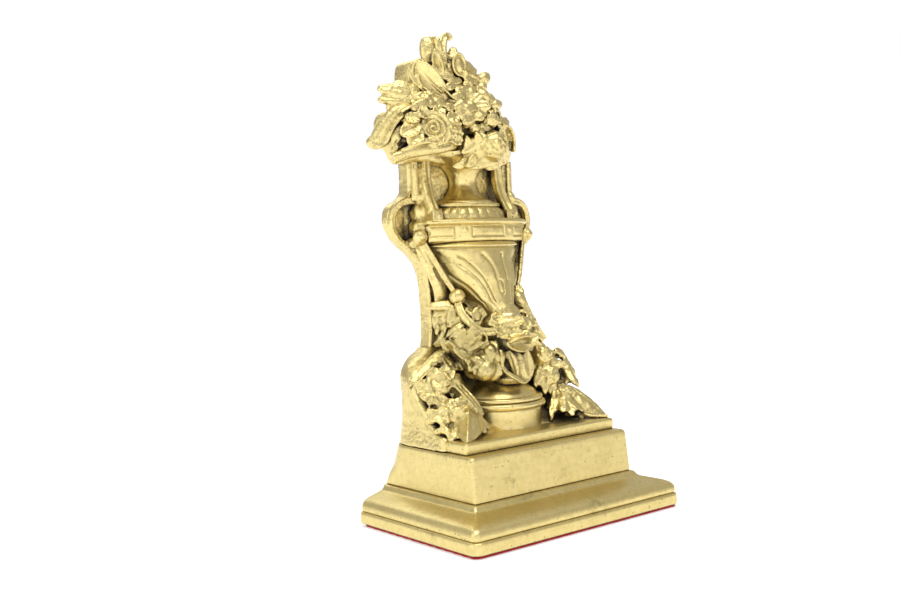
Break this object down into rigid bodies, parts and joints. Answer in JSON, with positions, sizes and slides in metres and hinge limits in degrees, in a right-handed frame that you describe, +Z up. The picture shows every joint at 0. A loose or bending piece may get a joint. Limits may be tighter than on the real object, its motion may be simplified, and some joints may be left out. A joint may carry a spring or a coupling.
{
  "type": "desk ornament",
  "caption": "Heavy cast brass urn of flowers standing on a stepped plinth with a flat back and a red felt sole, for weighting papers or propping on a desk.",
  "frame": {"origin": "centre of the footprint, on the surface that the felt rests on", "axes": "+Z up, -Y is the ornamented front, +Y the flat back, +X to the right as seen from the front"},
  "size_m": [0.125, 0.082, 0.2242],
  "materials": {
    "cast_brass": "satin sand casting with dark recesses",
    "plinth_brass": "satin, brushed along its length, with small pits",
    "steel": "plain zinc plated",
    "felt": "pressed wool felt"
  },
  "bodies": {
    "root": {"felt_pad": "felt", "closing_plate": "steel", "closing_screws": "steel", "tie_screws": "steel", "base_slab": "plinth_brass", "base_moulding": "plinth_brass", "plinth_block": "plinth_brass", "terrace_step": "plinth_brass", "rear_mound": "cast_brass", "back_plate": "cast_brass", "bouquet_back": "cast_brass", "urn_drum": "cast_brass", "urn_foot_ring": "cast_brass", "urn_dome": "cast_brass", "urn_stem": "cast_brass", "urn_body": "cast_brass", "rim_band": "cast_brass", "gadroon_ring": "cast_brass", "urn_neck": "cast_brass", "left_strap": "cast_brass", "right_strap": "cast_brass", "left_handle": "cast_brass", "right_handle": "cast_brass", "left_ball": "cast_brass", "right_ball": "cast_brass", "left_swag": "cast_brass", "right_swag": "cast_brass", "centre_flower": "cast_brass", "left_garland": "cast_brass", "right_garland": "cast_brass", "left_foliage": "cast_brass", "right_foliage": "cast_brass", "rose": "cast_brass", "daisy": "cast_brass", "lower_flower": "cast_brass", "rolled_leaf": "cast_brass", "low_petals": "cast_brass", "leaf_fan": "cast_brass", "rimmed_leaf": "cast_brass", "top_leaves": "cast_brass", "top_buds": "cast_brass", "right_buds": "cast_brass", "right_flower": "cast_brass"}
  },
  "joints": []
}
